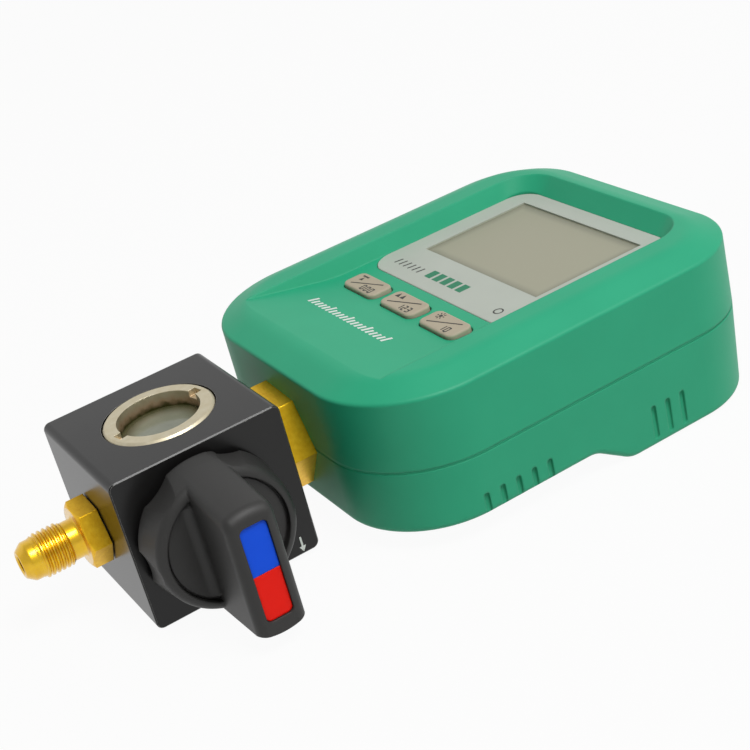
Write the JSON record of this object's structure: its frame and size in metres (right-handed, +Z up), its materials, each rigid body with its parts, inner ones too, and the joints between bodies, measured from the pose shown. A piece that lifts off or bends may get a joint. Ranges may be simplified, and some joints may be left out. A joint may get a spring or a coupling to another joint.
{
  "type": "refrigerant manifold gauge",
  "caption": "Refrigerant manifold gauge: black valve block with sight glass, brass flare ports and a bar knob, joined by a brass hex to a green digital display housing with keys.",
  "frame": {"origin": "centre of the valve block's underside", "axes": "+X from the valve block to the display housing, +Z up through the sight glass and the display, and the valve knob on the -Y side"},
  "size_m": [0.1868, 0.0997, 0.0449],
  "materials": {
    "black_anodised": "black anodised, satin",
    "brass": "turned, bright",
    "nickel": "nickel plated, turned",
    "steel": "turned stainless",
    "seat_plastic": "white fluoropolymer",
    "seal_rubber": "black, matt",
    "sight_glass": "clear",
    "knob_plastic": "black, moulded",
    "blue_plastic": "blue, moulded",
    "red_plastic": "red, moulded",
    "green_plastic": "green, fine moulded texture",
    "bezel_plastic": "pale grey",
    "key_rubber": "pale grey, matt",
    "window_plastic": "clear sheet",
    "lcd_glass": "grey, opaque from above",
    "light_plastic": "white",
    "board_laminate": "green laminate",
    "battery_can": "printed sleeve on steel",
    "lead_rubber": "flexible insulation"
  },
  "bodies": {
    "gauge": {"valve_block": "black_anodised", "inlet_flare": "brass", "inlet_seal": "seal_rubber", "outlet_flare": "brass", "outlet_seal": "seal_rubber", "inlet_seat": "seat_plastic", "outlet_seat": "seat_plastic", "stem_gland": "brass", "stop_pin": "steel", "sight_glass_ring": "nickel", "sight_glass_lens": "sight_glass", "sight_glass_seal": "seal_rubber", "coupling_hex": "brass", "coupling_locknut": "brass", "pressure_sensor": "steel", "sensor_wires": "lead_rubber", "top_cover": "green_plastic", "bottom_case": "green_plastic", "case_screws": "steel", "display_bezel": "bezel_plastic", "display_window": "window_plastic", "lcd_panel": "lcd_glass", "backlight": "light_plastic", "circuit_board": "board_laminate", "board_screws": "steel", "key_mat": "seal_rubber", "batteries": "battery_can", "battery_contacts": "nickel", "battery_door": "green_plastic"},
    "valve_knob": {"knob": "knob_plastic", "knob_screw": "steel", "knob_insert_blue": "blue_plastic", "knob_insert_red": "red_plastic", "valve_stem": "steel", "stem_seals": "seal_rubber", "valve_ball": "brass"},
    "key_one": {"key_1": "key_rubber"},
    "key_two": {"key_2": "key_rubber"},
    "key_three": {"key_3": "key_rubber"}
  },
  "joints": [
    {"name": "valve_turn", "type": "hinge", "parent": "gauge", "child": "valve_knob", "pos_m": [-0.0022, 0, 0.02], "axis": [0, -1, 0], "range_deg": [0, 90]},
    {"name": "key_one_press", "type": "slide", "parent": "gauge", "child": "key_one", "axis": [0, 0, -1], "range_m": [0, 0.0006], "stiffness_N_per_m": 400, "springref_m": -0.0005},
    {"name": "key_two_press", "type": "slide", "parent": "gauge", "child": "key_two", "axis": [0, 0, -1], "range_m": [0, 0.0006], "stiffness_N_per_m": 400, "springref_m": -0.0005},
    {"name": "key_three_press", "type": "slide", "parent": "gauge", "child": "key_three", "axis": [0, 0, -1], "range_m": [0, 0.0006], "stiffness_N_per_m": 400, "springref_m": -0.0005}
  ]
}
